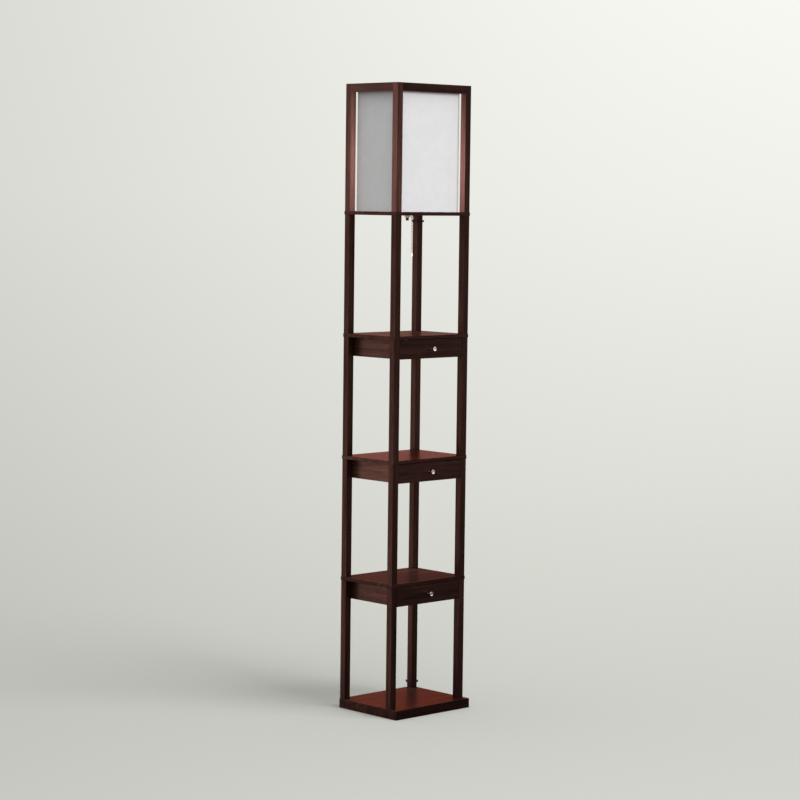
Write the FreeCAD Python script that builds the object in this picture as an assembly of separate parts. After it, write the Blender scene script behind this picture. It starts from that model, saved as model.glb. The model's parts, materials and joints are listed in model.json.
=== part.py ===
import FreeCAD, Part

# Shelf floor lamp: five tiers of square posts between boards, three drawers hung
# under the shelves, a box shade round the lamp holder, and a pull chain.
#
# Millimetres. +X runs to the right along the front, +Y to the back and +Z up.
# The origin is the centre of the base board's underside.

import math
import os

from FreeCAD import Vector

# ---------------------------------------------------------------- driving dimensions

# frame
frame_width = 257.0            # over the posts, left to right
frame_depth = 191.0            # over the posts, front to back
post_size = 18.5               # square posts
post_edge_radius = 0.8
board_edge_radius = 0.8
board_overhang = 1.0           # every board stands this far outside the posts
base_front_overhang = 23.0     # the base board's foot in front of the posts
base_thickness = 24.0
shelf_thickness = 9.0
lamp_board_thickness = 9.0
bottom_post_length = 309.0
lower_post_length = 304.0
middle_post_length = 304.0
upper_post_length = 302.0
shade_post_length = 321.0
rail_height = 20.0             # the rails are as thick as the posts
cut_past = 1.0                 # how far a hole is cut past the face that it opens

# double-ended studs that join the posts through the boards
stud_radius = 3.0
stud_length = 40.0
stud_floor_in_base = 7.0       # of the base board, under a stud's hole
stud_play = 0.05               # round each stud
stud_end_room = 1.0            # beyond each stud's end

# drawers
drawer_front_height = 48.0
drawer_front_thickness = 12.0
drawer_front_recess = 0.5      # behind the face of the posts
drawer_front_gap = 1.0         # to the posts and to the shelf above
drawer_side_gap = 4.0          # between a drawer side and the posts' inner faces
drawer_side_thickness = 9.0
drawer_back_room = 5.5         # from a drawer's back to the back of the frame
drawer_back_thickness = 9.0
drawer_bottom_thickness = 4.0
drawer_bottom_height = 5.0     # its underside above the lower edge of the sides
drawer_bottom_groove = 4.0
drawer_bottom_end_room = 0.5
drawer_hold_length = 43.0      # of a pulled-out side, still under the shelf

# runners: an L-shaped batten under the shelf, whose lip rides in a drawer side
runner_width = 10.0
runner_height = 14.0
runner_gap = 0.5               # to the inner face of the drawer side
runner_lip_reach = 3.6         # into the groove
runner_lip_height = 5.0
runner_play = 0.3              # above and below the lip, and past its edge
runner_back_room = 8.0         # behind the runner, to the back of the frame
runner_front_gap = 0.5
stop_lug_height = 4.5
stop_lug_length = 6.0
stop_gap = 0.5                 # from a lug to the drawer's back, at the end of its travel

# knobs
knob_radius = 5.75
knob_projection = 13.0
knob_head_length = 7.5
knob_neck_radius = 2.6
knob_neck_fillet = 0.8
knob_foot_width = 1.0          # of the foot ring, round the neck
knob_foot_height = 1.5
knob_back_rise = 1.6           # of the head's sloping back
knob_back_radius = 1.2
knob_rim_radius = 0.7
knob_rim_width = 1.1
knob_rim_drop = 0.3            # inside the rim, at the dish's edge
knob_dish_depth = 0.9
knob_stud_radius = 2.0
knob_stud_length = 9.0
knob_stud_play = 0.05

# shade
shade_gap = 2.0                # between the shade and the posts and rails
shade_wall = 1.5
shade_inner_corner_radius = 0.5
shade_top_drop = 10.0          # from the top of the frame to the shade's upper edge

# lamp holder and its fixing through the lamp board
nipple_radius = 5.0
nipple_wall = 1.5
nipple_past_nut = 3.0
nipple_into_holder = 7.0
nipple_end_room = 1.0
thread_play = 0.05
nut_wall = 2.0                 # from the thread to a flat
nut_thickness = 5.0
outlet_bush_radius = 4.3
outlet_bush_flange = 5.5
outlet_bush_edge_radius = 1.0
outlet_bush_stem_length = 6.0
outlet_bush_wall = 0.65
outlet_bush_play = 0.1
holder_foot_wall = 4.0         # round the nipple
holder_wall = 3.9              # round the bulb's cap
holder_rim_step = 1.5
holder_shoulder_height = 12.0
holder_shoulder_radius = 3.0
holder_floor_height = 20.0
holder_well_depth = 28.0
holder_rim_height = 5.0
switch_box_width = 12.0
switch_box_depth = 10.0
switch_box_corner_radius = 1.5
switch_box_lift = 14.0         # above the holder's foot
switch_box_roof = 3.0
switch_bore_play = 0.8         # round the chain's balls
switch_bore_wall = 1.5         # between the bore and the bulb's cap
switch_bore_depth = 19.0       # above the box's lower face

# bulb
bulb_cap_radius = 13.0
bulb_cap_play = 0.1
bulb_cap_taper_width = 5.0
bulb_cap_taper_height = 4.0
bulb_cap_above_rim = 1.0
bulb_seat_room = 1.0
bulb_neck_length = 26.0
bulb_globe_radius = 30.0
bulb_shoulder_angle = 48.0     # degrees below the globe's middle

# pull chain
chain_ball_radius = 1.6
chain_ball_spacing = 1.0       # of bare wire between two balls
chain_wire_radius = 0.5
chain_top_room = 1.0           # over the highest ball, at least
chain_hole_room = 1.0          # round the connector
lower_chain_pitches = 21
connector_drop = 2.0           # from the lamp board to the connector
connector_ball_spacing = 1.4   # between the two balls in it
connector_wall = 1.2
connector_play = 0.2
connector_mouth_step = 0.2     # the mouths are this much smaller than a ball
connector_lip = 0.4
connector_edge_radius = 0.5
bell_height = 10.0
bell_flare_height = 4.0
bell_mouth_radius = 3.6
bell_wall = 0.6
bell_crown_radius = 0.8
bell_flare_radius = 1.5
bell_ball_room = 0.2           # above the chain's last ball
bell_ball_play = 0.6           # round it
bell_wire_play = 0.1

# straps that hold a lead to the rear right post
strap_thickness = 3.0
strap_height = 5.0
strap_corner_radius = 2.0
strap_distance = 16.0          # from a board's face to the middle of its strap

# ---------------------------------------------------------------- derived places

base_width = frame_width + 2 * board_overhang
base_depth = frame_depth + board_overhang + base_front_overhang
frame_front = -base_depth / 2 + base_front_overhang
frame_back = frame_front + frame_depth
frame_centre_y = (frame_front + frame_back) / 2
frame_right = frame_width / 2
inner_width = frame_width - 2 * post_size

tier_lengths = {
    "bottom": bottom_post_length,
    "lower": lower_post_length,
    "middle": middle_post_length,
    "upper": upper_post_length,
    "shade": shade_post_length,
}
tier_floor = {}                # the height at which each tier's posts stand
level = base_thickness
for tier_name, board_above in (
    ("bottom", shelf_thickness),
    ("lower", shelf_thickness),
    ("middle", shelf_thickness),
    ("upper", lamp_board_thickness),
    ("shade", 0.0),
):
    tier_floor[tier_name] = level
    level += tier_lengths[tier_name] + board_above
total_height = level

# each shelf lies on the posts of the tier below it
shelf_underside = {
    "lower": tier_floor["bottom"] + bottom_post_length,
    "middle": tier_floor["lower"] + lower_post_length,
    "upper": tier_floor["middle"] + middle_post_length,
}
lamp_board_underside = tier_floor["upper"] + upper_post_length
lamp_board_top = lamp_board_underside + lamp_board_thickness

# drawers, from front to back and from the side inwards
front_face = frame_front + drawer_front_recess
front_back_face = front_face + drawer_front_thickness
side_back_end = frame_back - drawer_back_room
back_panel_front = side_back_end - drawer_back_thickness
drawer_travel = side_back_end - front_back_face - drawer_hold_length
drawer_underside_drop = drawer_front_gap + drawer_front_height
knob_drop = drawer_front_gap + drawer_front_height / 2
side_outer = inner_width / 2 - drawer_side_gap
side_inner = side_outer - drawer_side_thickness

# lamp holder and its switch
nipple_bore_radius = nipple_radius - nipple_wall
nipple_end = lamp_board_underside - nut_thickness - nipple_past_nut
holder_foot = lamp_board_top + nut_thickness
holder_cavity_radius = bulb_cap_radius + bulb_cap_play
holder_height = holder_floor_height + holder_well_depth
switch_bore_radius = chain_ball_radius + switch_bore_play
switch_bore_top = holder_foot + switch_box_lift + switch_bore_depth
chain_y = frame_centre_y - holder_cavity_radius - switch_bore_wall - switch_bore_radius

# pull chain: the connector holds the end balls of the two chains
chain_pitch = 2 * chain_ball_radius + chain_ball_spacing
connector_bore_radius = chain_ball_radius + connector_play
connector_radius = connector_bore_radius + connector_wall
connector_top = lamp_board_underside - connector_drop
upper_pivot_height = connector_top - connector_lip - chain_ball_radius
lower_pivot_height = upper_pivot_height - 2 * chain_ball_radius - connector_ball_spacing
connector_bottom = lower_pivot_height - chain_ball_radius - connector_lip
upper_chain_room = switch_bore_top - chain_top_room - chain_ball_radius - upper_pivot_height
upper_chain_pitches = math.floor(upper_chain_room / chain_pitch)

# ---------------------------------------------------------------- helpers

same_place = 1e-6              # two points closer than this count as one


def block(x_range, y_range, z_range):
    """A box between two values on each axis."""
    size = [high - low for low, high in (x_range, y_range, z_range)]
    corner = Vector(x_range[0], y_range[0], z_range[0])
    return Part.makeBox(size[0], size[1], size[2], corner)


def eased_block(x_range, y_range, z_range, radius):
    """A box with every edge rounded."""
    solid = block(x_range, y_range, z_range)
    return solid.makeFillet(radius, solid.Edges)


def upright_edges(solid):
    """The edges of a solid that run along Z."""
    found = []
    for edge in solid.Edges:
        start = edge.firstVertex().Point
        end = edge.lastVertex().Point
        if abs(start.x - end.x) < same_place and abs(start.y - end.y) < same_place:
            found.append(edge)
    return found


def rod(radius, start, end):
    """A round rod from one point to another."""
    run = end - start
    return Part.makeCylinder(radius, run.Length, start, run)


def turned(outline, base, axis_up=Vector(0, 0, 1)):
    """A solid of revolution from (radius, height) points, standing on a base point.

    A point may carry a third value, which rounds that corner by its size.
    """
    edges = []
    count = len(outline)
    corners = []
    for index, corner in enumerate(outline):
        here = Vector(corner[0], 0, corner[1])
        before = outline[index - 1]
        after = outline[(index + 1) % count]
        if not corner[2:]:
            corners.append((here, here, None))
            continue
        back = (Vector(before[0], 0, before[1]) - here).normalize()
        ahead = (Vector(after[0], 0, after[1]) - here).normalize()
        half_angle = back.getAngle(ahead) / 2
        setback = corner[2] / math.tan(half_angle)
        bisector = (back + ahead).normalize()
        centre = here + bisector * (corner[2] / math.sin(half_angle))
        corners.append((here + back * setback, here + ahead * setback, centre - bisector * corner[2]))
    for index, (entry, leave, middle) in enumerate(corners):
        if middle is not None:
            edges.append(Part.Arc(entry, middle, leave).toShape())
        following = corners[(index + 1) % count][0]
        if (following - leave).Length > same_place:
            edges.append(Part.LineSegment(leave, following).toShape())
    face = Part.Face(Part.Wire(edges))
    solid = face.revolve(Vector(0, 0, 0), Vector(0, 0, 1), 360)
    turn = FreeCAD.Rotation(Vector(0, 0, 1), axis_up)
    solid.Placement = FreeCAD.Placement(base, turn)
    return solid


def save(name, shape):
    """Write one sub-part and report its volume."""
    shape.exportStep("parts/" + name + ".step")
    print("%-34s %2d solid(s) %12.1f mm3" % (name, len(shape.Solids), shape.Volume))


def post_centres():
    """Name and centre of each corner's post."""
    x = frame_width / 2 - post_size / 2
    front = frame_front + post_size / 2
    back = frame_back - post_size / 2
    return {
        "front_left": (-x, front),
        "front_right": (x, front),
        "rear_left": (-x, back),
        "rear_right": (x, back),
    }


# ---------------------------------------------------------------- frame


def stud_holes(floor, roof):
    """Clearance for the corner studs between two heights."""
    holes = []
    for x, y in post_centres().values():
        holes.append(rod(stud_radius + stud_play, Vector(x, y, floor), Vector(x, y, roof)))
    return Part.makeCompound(holes)


def base_board():
    """The thick foot board, drilled from above for the studs."""
    board = eased_block(
        (-base_width / 2, base_width / 2),
        (-base_depth / 2, base_depth / 2),
        (0, base_thickness),
        board_edge_radius,
    )
    return board.cut(stud_holes(stud_floor_in_base - stud_end_room, base_thickness + cut_past))


def shelf_board(underside, thickness):
    """A board laid over four posts, with a stud hole at each corner."""
    board = eased_block(
        (-base_width / 2, base_width / 2),
        (frame_front - board_overhang, frame_back + board_overhang),
        (underside, underside + thickness),
        board_edge_radius,
    )
    return board.cut(stud_holes(underside - cut_past, underside + thickness + cut_past))


def post(x, y, floor, length, drilled_depths):
    """A square post with rounded long edges, drilled at its two ends."""
    half = post_size / 2
    solid = block((x - half, x + half), (y - half, y + half), (floor, floor + length))
    solid = solid.makeFillet(post_edge_radius, upright_edges(solid))
    lower_depth, upper_depth = drilled_depths
    radius = stud_radius + stud_play
    if lower_depth > 0:
        solid = solid.cut(rod(radius, Vector(x, y, floor - cut_past), Vector(x, y, floor + lower_depth)))
    if upper_depth > 0:
        top = floor + length
        solid = solid.cut(rod(radius, Vector(x, y, top - upper_depth), Vector(x, y, top + cut_past)))
    return solid


def depth_past_board(thickness):
    """How far a hole for a stud centred in a board goes into each post."""
    return (stud_length - thickness) / 2 + stud_end_room


def posts():
    """Twenty posts, four to a tier."""
    into_shelf_side = depth_past_board(shelf_thickness)
    into_lamp_board_side = depth_past_board(lamp_board_thickness)
    drilled = {
        "bottom": (stud_floor_in_base + stud_length + stud_end_room - base_thickness, into_shelf_side),
        "lower": (into_shelf_side, into_shelf_side),
        "middle": (into_shelf_side, into_shelf_side),
        "upper": (into_shelf_side, into_lamp_board_side),
        "shade": (into_lamp_board_side, 0.0),
    }
    made = {}
    for tier, length in tier_lengths.items():
        for corner, (x, y) in post_centres().items():
            made[tier + "_tier_" + corner + "_post"] = post(x, y, tier_floor[tier], length, drilled[tier])
    return made


def studs():
    """All the double-ended studs, as separate solids."""
    middles = [stud_floor_in_base + stud_length / 2]
    middles += [underside + shelf_thickness / 2 for underside in shelf_underside.values()]
    middles.append(lamp_board_underside + lamp_board_thickness / 2)
    made = []
    for middle in middles:
        for x, y in post_centres().values():
            low = Vector(x, y, middle - stud_length / 2)
            high = Vector(x, y, middle + stud_length / 2)
            made.append(rod(stud_radius, low, high))
    return Part.makeCompound(made)


def top_rails():
    """Four rails between the tops of the shade tier's posts."""
    half_inner = inner_width / 2
    right = frame_right
    z_range = (total_height - rail_height, total_height)
    side_y = (frame_front + post_size, frame_back - post_size)
    ranges = {
        "front": ((-half_inner, half_inner), (frame_front, frame_front + post_size)),
        "rear": ((-half_inner, half_inner), (frame_back - post_size, frame_back)),
        "left": ((-right, -right + post_size), side_y),
        "right": ((right - post_size, right), side_y),
    }
    made = {}
    for side, (x_range, y_range) in ranges.items():
        solid = block(x_range, y_range, z_range)
        long_edges = [edge for edge in solid.Edges if edge.Length > rail_height + post_size]
        made[side + "_top_rail"] = solid.makeFillet(post_edge_radius, long_edges)
    return made


# ---------------------------------------------------------------- drawers


def bottom_slot(underside, grow):
    """Where a drawer's bottom panel lies, grown at its edges by grow."""
    low = underside - drawer_underside_drop + drawer_bottom_height
    half = side_inner + drawer_bottom_groove + grow
    return block(
        (-half, half),
        (front_back_face - drawer_bottom_groove - grow, back_panel_front + drawer_bottom_groove + grow),
        (low, low + drawer_bottom_thickness),
    )


def knob_bore(underside, radius, depth):
    """A hole into the drawer front for the knob's stud."""
    height = underside - knob_drop
    start = Vector(0, front_face - cut_past, height)
    return rod(radius, start, Vector(0, front_face + depth, height))


def drawer_front(underside):
    """The visible panel, slotted behind for the bottom and bored for the knob."""
    half = inner_width / 2 - drawer_front_gap
    top = underside - drawer_front_gap
    panel = eased_block(
        (-half, half),
        (front_face, front_back_face),
        (top - drawer_front_height, top),
        board_edge_radius,
    )
    panel = panel.cut(bottom_slot(underside, drawer_bottom_end_room))
    bore_depth = knob_stud_length + stud_end_room
    return panel.cut(knob_bore(underside, knob_stud_radius + knob_stud_play, bore_depth))


def drawer_side(underside, hand):
    """A drawer side; hand is -1 for the left one and 1 for the right one."""
    x_range = sorted((hand * side_inner, hand * side_outer))
    side = block(
        x_range,
        (front_back_face, side_back_end),
        (underside - drawer_underside_drop, underside - drawer_front_gap),
    )
    lip_floor = underside - runner_height
    groove_end = side_inner - runner_gap + runner_lip_reach + runner_play
    groove = block(
        sorted((hand * (side_inner - cut_past), hand * groove_end)),
        (front_back_face - cut_past, side_back_end + cut_past),
        (lip_floor - runner_play, lip_floor + runner_lip_height + runner_play),
    )
    return side.cut(groove).cut(bottom_slot(underside, drawer_bottom_end_room))


def drawer_back(underside):
    """The low back panel, which passes under the runners."""
    panel = block(
        (-side_inner, side_inner),
        (back_panel_front, side_back_end),
        (underside - drawer_underside_drop, underside - runner_height - drawer_front_gap),
    )
    return panel.cut(bottom_slot(underside, drawer_bottom_end_room))


def runner(underside, hand):
    """One batten under a shelf: an L with a stop lug for the drawer's back."""
    leg_outer = side_inner - runner_gap
    leg_inner = leg_outer - runner_width
    floor = underside - runner_height
    y_range = (front_back_face + runner_front_gap, frame_back - runner_back_room)
    leg = block(sorted((hand * leg_inner, hand * leg_outer)), y_range, (floor, underside))
    lip = block(
        sorted((hand * leg_inner, hand * (leg_outer + runner_lip_reach))),
        y_range,
        (floor, floor + runner_lip_height),
    )
    lug_back = back_panel_front - drawer_travel - stop_gap
    lug = block(
        sorted((hand * leg_inner, hand * leg_outer)),
        (lug_back - stop_lug_length, lug_back),
        (floor - stop_lug_height, floor),
    )
    return leg.fuse([lip, lug]).removeSplitter()


def knob(underside):
    """A turned knob on its stud, with a shallow dish in its face."""
    neck_end = knob_projection - knob_head_length
    outline = [
        (0, -knob_stud_length),
        (knob_stud_radius, -knob_stud_length),
        (knob_stud_radius, 0),
        (knob_neck_radius + knob_foot_width, 0),
        (knob_neck_radius, knob_foot_height, knob_neck_fillet),
        (knob_neck_radius, neck_end, knob_neck_fillet),
        (knob_radius, neck_end + knob_back_rise, knob_back_radius),
        (knob_radius, knob_projection, knob_rim_radius),
        (knob_radius - knob_rim_width, knob_projection - knob_rim_drop),
        (0, knob_projection - knob_dish_depth),
    ]
    return turned(outline, Vector(0, front_face, underside - knob_drop), Vector(0, -1, 0))


# ---------------------------------------------------------------- shade and lamp holder


def shade():
    """An open-ended box of stiff sheet that stands on the lamp board."""
    half_x = inner_width / 2 - shade_gap
    y_range = (frame_front + post_size + shade_gap, frame_back - post_size - shade_gap)
    z_range = (lamp_board_top, total_height - shade_top_drop)
    outer = block((-half_x, half_x), y_range, z_range)
    outer = outer.makeFillet(shade_inner_corner_radius + shade_wall, upright_edges(outer))
    inner = block(
        (-half_x + shade_wall, half_x - shade_wall),
        (y_range[0] + shade_wall, y_range[1] - shade_wall),
        (z_range[0] - cut_past, z_range[1] + cut_past),
    )
    inner = inner.makeFillet(shade_inner_corner_radius, upright_edges(inner))
    return outer.cut(inner)


def lamp_board():
    """The board under the shade, with holes for the nipple and the chain."""
    board = shelf_board(lamp_board_underside, lamp_board_thickness)
    holes = ((frame_centre_y, nipple_radius + thread_play), (chain_y, connector_radius + chain_hole_room))
    for y, radius in holes:
        low = Vector(0, y, lamp_board_underside - cut_past)
        board = board.cut(rod(radius, low, Vector(0, y, lamp_board_top + cut_past)))
    return board


def ring(outer, bore, low, high):
    """A tube on the lamp holder's axis."""
    outline = [(bore, low), (outer, low), (outer, high), (bore, high)]
    return turned(outline, Vector(0, frame_centre_y, 0))


def nipple():
    """The threaded tube that clamps the holder to the lamp board."""
    return ring(nipple_radius, nipple_bore_radius, nipple_end, holder_foot + nipple_into_holder)


def hexagon_nut(floor):
    """One nut on the nipple."""
    across_corners = 2 * (nipple_radius + nut_wall) / math.cos(math.pi / 6)
    corners = []
    for step in range(7):
        angle = math.pi / 3 * step
        arm = Vector(math.cos(angle), math.sin(angle), 0) * (across_corners / 2)
        corners.append(Vector(0, frame_centre_y, floor) + arm)
    prism = Part.Face(Part.makePolygon(corners)).extrude(Vector(0, 0, nut_thickness))
    return prism.cut(ring(nipple_radius + thread_play, 0, floor - cut_past, floor + nut_thickness + cut_past))


def nipple_nuts():
    """A nut under the lamp board and one above it."""
    return Part.makeCompound([hexagon_nut(lamp_board_underside - nut_thickness), hexagon_nut(lamp_board_top)])


def outlet_bush():
    """The insulating bush in the nipple's lower end, where a lead comes out."""
    stem = nipple_bore_radius - outlet_bush_play
    bore = stem - outlet_bush_wall
    outline = [
        (bore, nipple_end - outlet_bush_flange),
        (outlet_bush_radius, nipple_end - outlet_bush_flange, outlet_bush_edge_radius),
        (outlet_bush_radius, nipple_end),
        (stem, nipple_end),
        (stem, nipple_end + outlet_bush_stem_length),
        (bore, nipple_end + outlet_bush_stem_length),
    ]
    return turned(outline, Vector(0, frame_centre_y, 0))


def lamp_holder():
    """The bulb's holder with its switch box and the chain's guide bore."""
    thread_radius = nipple_radius + thread_play
    thread_end = nipple_into_holder + nipple_end_room
    body_radius = holder_cavity_radius + holder_wall
    rim_floor = holder_height - holder_rim_height
    outline = [
        (0, thread_end),
        (thread_radius, thread_end),
        (thread_radius, 0),
        (nipple_radius + holder_foot_wall, 0),
        (body_radius, holder_shoulder_height, holder_shoulder_radius),
        (body_radius, rim_floor),
        (body_radius + holder_rim_step, rim_floor),
        (body_radius + holder_rim_step, holder_height),
        (holder_cavity_radius, holder_height),
        (holder_cavity_radius, holder_floor_height),
        (0, holder_floor_height),
    ]
    shell = turned(outline, Vector(0, frame_centre_y, holder_foot))
    half = switch_box_width / 2
    box = block(
        (-half, half),
        (chain_y - switch_box_depth / 2, chain_y + switch_box_depth / 2),
        (holder_foot + switch_box_lift, switch_bore_top + switch_box_roof),
    )
    box = box.makeFillet(switch_box_corner_radius, upright_edges(box))
    bore_start = Vector(0, chain_y, holder_foot - cut_past)
    bore = rod(switch_bore_radius, bore_start, Vector(0, chain_y, switch_bore_top))
    well_floor = holder_foot + holder_floor_height
    well = ring(holder_cavity_radius, 0, well_floor, holder_foot + holder_height + cut_past)
    return shell.fuse(box).removeSplitter().cut(well).cut(bore)


def bulb():
    """A screw cap and a pear-shaped globe, as two solids."""
    cap_floor = holder_foot + holder_floor_height + bulb_seat_room
    cap_top = holder_foot + holder_height + bulb_cap_above_rim
    axis = Vector(0, frame_centre_y, 0)
    cap = turned(
        [
            (0, cap_floor),
            (bulb_cap_radius - bulb_cap_taper_width, cap_floor),
            (bulb_cap_radius, cap_floor + bulb_cap_taper_height),
            (bulb_cap_radius, cap_top),
            (0, cap_top),
        ],
        axis,
    )
    below = math.radians(bulb_shoulder_angle)
    above = (math.pi / 2 - below) / 2      # halfway along the arc, from the globe's middle
    centre = Vector(0, 0, cap_top + bulb_neck_length + bulb_globe_radius * math.sin(below))
    foot = Vector(0, 0, cap_top)
    neck = Vector(bulb_cap_radius, 0, cap_top)
    shoulder = centre + Vector(math.cos(below), 0, -math.sin(below)) * bulb_globe_radius
    bulge = centre + Vector(math.cos(above), 0, math.sin(above)) * bulb_globe_radius
    crown = centre + Vector(0, 0, bulb_globe_radius)
    edges = [
        Part.LineSegment(foot, neck).toShape(),
        Part.LineSegment(neck, shoulder).toShape(),
        Part.Arc(shoulder, bulge, crown).toShape(),
        Part.LineSegment(crown, foot).toShape(),
    ]
    globe = Part.Face(Part.Wire(edges)).revolve(Vector(0, 0, 0), Vector(0, 0, 1), 360)
    globe.translate(axis)
    return Part.makeCompound([cap, globe])


# ---------------------------------------------------------------- pull chain


def ball_chain(top, pitches):
    """Balls on a wire: a turned string whose first ball is centred at height top."""
    reach = math.sqrt(chain_ball_radius ** 2 - chain_wire_radius ** 2)
    slant = chain_ball_radius * math.sqrt(0.5)
    crown = Vector(0, 0, top + chain_ball_radius)
    leave = Vector(chain_wire_radius, 0, top - reach)
    edges = [Part.Arc(crown, Vector(slant, 0, top + slant), Vector(chain_ball_radius, 0, top)).toShape()]
    edges.append(Part.Arc(Vector(chain_ball_radius, 0, top), Vector(slant, 0, top - slant), leave).toShape())
    for index in range(1, pitches + 1):
        centre = top - index * chain_pitch
        entry = Vector(chain_wire_radius, 0, centre + reach)
        side = Vector(chain_ball_radius, 0, centre)
        edges.append(Part.LineSegment(leave, entry).toShape())
        if index < pitches:
            leave = Vector(chain_wire_radius, 0, centre - reach)
        else:
            leave = Vector(0, 0, centre - chain_ball_radius)
        edges.append(Part.Arc(entry, side, leave).toShape())
    edges.append(Part.LineSegment(leave, crown).toShape())
    chain = Part.Face(Part.Wire(edges)).revolve(Vector(0, 0, 0), Vector(0, 0, 1), 360)
    chain.translate(Vector(0, chain_y, 0))
    return chain


def chain_connector():
    """The crimped sleeve that holds the two chains' end balls."""
    mouth = chain_ball_radius - connector_mouth_step
    outline = [
        (mouth, connector_bottom),
        (connector_radius, connector_bottom, connector_edge_radius),
        (connector_radius, connector_top, connector_edge_radius),
        (mouth, connector_top),
        (mouth, connector_top - connector_lip),
        (connector_bore_radius, connector_top - connector_lip),
        (connector_bore_radius, connector_bottom + connector_lip),
        (mouth, connector_bottom + connector_lip),
    ]
    return turned(outline, Vector(0, chain_y, 0))


def chain_bell():
    """The small bell on the chain's end, which hides the last ball."""
    last_ball = lower_pivot_height - lower_chain_pitches * chain_pitch
    top = last_ball + chain_ball_radius + bell_ball_room + bell_wall
    bottom = top - bell_height
    flare = bottom + bell_flare_height
    bore = chain_wire_radius + bell_wire_play
    inside = chain_ball_radius + bell_ball_play
    outline = [
        (bore, top),
        (inside + bell_wall, top, bell_crown_radius),
        (inside + bell_wall, flare, bell_flare_radius),
        (bell_mouth_radius, bottom),
        (bell_mouth_radius - bell_wall, bottom),
        (inside, flare, bell_flare_radius),
        (inside, top - bell_wall),
        (bore, top - bell_wall),
    ]
    return turned(outline, Vector(0, chain_y, 0))


# ---------------------------------------------------------------- straps


def strap(middle):
    """One strap round the rear right post."""
    x, y = post_centres()["rear_right"]
    inner = post_size / 2
    outer = inner + strap_thickness
    z_range = (middle - strap_height / 2, middle + strap_height / 2)
    band = block((x - outer, x + outer), (y - outer, y + outer), z_range)
    band = band.makeFillet(strap_corner_radius, upright_edges(band))
    above_and_below = (z_range[0] - cut_past, z_range[1] + cut_past)
    post_room = block((x - inner, x + inner), (y - inner, y + inner), above_and_below)
    return band.cut(post_room)


def cord_straps():
    """The lower strap, above the base, and the upper one, under the lamp board."""
    middles = (base_thickness + strap_distance, lamp_board_underside - strap_distance)
    return Part.makeCompound([strap(middle) for middle in middles])


# ---------------------------------------------------------------- all sub-parts


def drawers():
    """Every piece of the three drawers."""
    made = {}
    for level_name, underside in shelf_underside.items():
        prefix = level_name + "_drawer_"
        made[prefix + "front"] = drawer_front(underside)
        made[prefix + "left_side"] = drawer_side(underside, -1)
        made[prefix + "right_side"] = drawer_side(underside, 1)
        made[prefix + "back"] = drawer_back(underside)
        made[prefix + "bottom"] = bottom_slot(underside, 0)
        made[prefix + "knob"] = knob(underside)
    return made


def main():
    os.makedirs("parts", exist_ok=True)
    made = {"base_board": base_board(), "lamp_board": lamp_board()}
    for level_name, underside in shelf_underside.items():
        made[level_name + "_shelf"] = shelf_board(underside, shelf_thickness)
    made.update(posts())
    made.update(top_rails())
    made["joining_studs"] = studs()
    made["drawer_runners"] = Part.makeCompound(
        [runner(underside, hand) for underside in shelf_underside.values() for hand in (-1, 1)]
    )
    made.update(drawers())
    made["shade"] = shade()
    made["threaded_nipple"] = nipple()
    made["nipple_nuts"] = nipple_nuts()
    made["lead_outlet_bush"] = outlet_bush()
    made["lamp_holder"] = lamp_holder()
    made["bulb"] = bulb()
    upper_chain_top = upper_pivot_height + upper_chain_pitches * chain_pitch
    made["upper_chain"] = ball_chain(upper_chain_top, upper_chain_pitches)
    made["chain_connector"] = chain_connector()
    made["pull_chain"] = ball_chain(lower_pivot_height, lower_chain_pitches)
    made["chain_bell"] = chain_bell()
    made["cord_straps"] = cord_straps()
    for name, shape in made.items():
        save(name, shape)
    print("%d sub-parts, total height %.1f mm" % (len(made), total_height))
    print("drawer travel %.1f mm" % drawer_travel)


main()
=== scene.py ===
# Looks of the shelf floor lamp: dark red-brown satin wood, a white sheet shade, bright
# nickel knobs and pull chain. Metres, +Z up, the front faces -Y.

import json
import math

import bpy
import numpy as np
from mathutils import Matrix, Vector


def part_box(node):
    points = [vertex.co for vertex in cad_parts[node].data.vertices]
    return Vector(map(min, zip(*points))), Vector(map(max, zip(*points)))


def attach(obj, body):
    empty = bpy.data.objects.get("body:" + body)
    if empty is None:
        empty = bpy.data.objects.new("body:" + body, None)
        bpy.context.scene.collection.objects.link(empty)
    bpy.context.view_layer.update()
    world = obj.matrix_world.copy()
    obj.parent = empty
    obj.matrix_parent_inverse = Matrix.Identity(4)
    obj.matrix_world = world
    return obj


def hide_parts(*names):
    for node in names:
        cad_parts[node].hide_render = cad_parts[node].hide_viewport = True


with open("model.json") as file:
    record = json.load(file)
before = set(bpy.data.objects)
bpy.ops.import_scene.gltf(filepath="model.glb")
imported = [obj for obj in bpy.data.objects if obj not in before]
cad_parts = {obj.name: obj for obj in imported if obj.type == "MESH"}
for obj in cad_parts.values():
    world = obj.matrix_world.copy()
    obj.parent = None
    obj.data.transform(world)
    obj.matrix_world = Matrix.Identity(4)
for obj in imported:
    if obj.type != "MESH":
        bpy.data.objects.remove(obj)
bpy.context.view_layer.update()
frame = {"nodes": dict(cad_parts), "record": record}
nodes = frame["nodes"]

LEVELS = ("lower", "middle", "upper")
MM = 0.001

# ---------------------------------------------------------------- camera

CAMERA_PLACE = Vector((-4.38558, -4.61025, 1.31823))
CAMERA_YAW = 43.384            # degrees from +Y towards +X
CAMERA_PITCH = 4.676           # degrees down
CAMERA_ROLL = 0.696            # degrees, the camera's right side up
CAMERA_LENS = 112.16           # millimetres on a 36 mm wide sensor
SENSOR_WIDTH = 36.0
CAMERA_FAR = 200.0             # metres


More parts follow.
